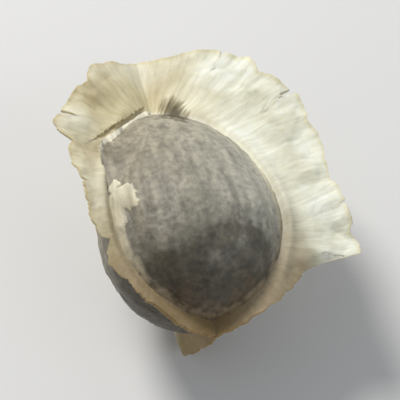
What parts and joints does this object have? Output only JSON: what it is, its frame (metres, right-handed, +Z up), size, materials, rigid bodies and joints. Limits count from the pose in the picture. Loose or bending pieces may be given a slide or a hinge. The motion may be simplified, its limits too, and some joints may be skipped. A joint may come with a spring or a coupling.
{
  "type": "moringa seed",
  "caption": "Dry winged moringa seed: a round, bluntly angled dark hull edged by papery cream wings, lying on its folded lower wing.",
  "frame": {"origin": "on the resting surface, under the middle of the seed's box seen from above", "axes": "+Z up; Y along the seed, from the round dark end at -Y to the pale end at +Y; the broad wing points to +X"},
  "size_m": [0.0156, 0.02, 0.0127],
  "materials": {
    "seed_coat": "dull dry hull, mottled grey brown, near black at the round end and pale at the other",
    "wing_paper": "dry papery cream sheet, faintly streaked, with torn khaki edges"
  },
  "bodies": {
    "root": {"hull": "seed_coat", "wings": "wing_paper"}
  },
  "joints": []
}
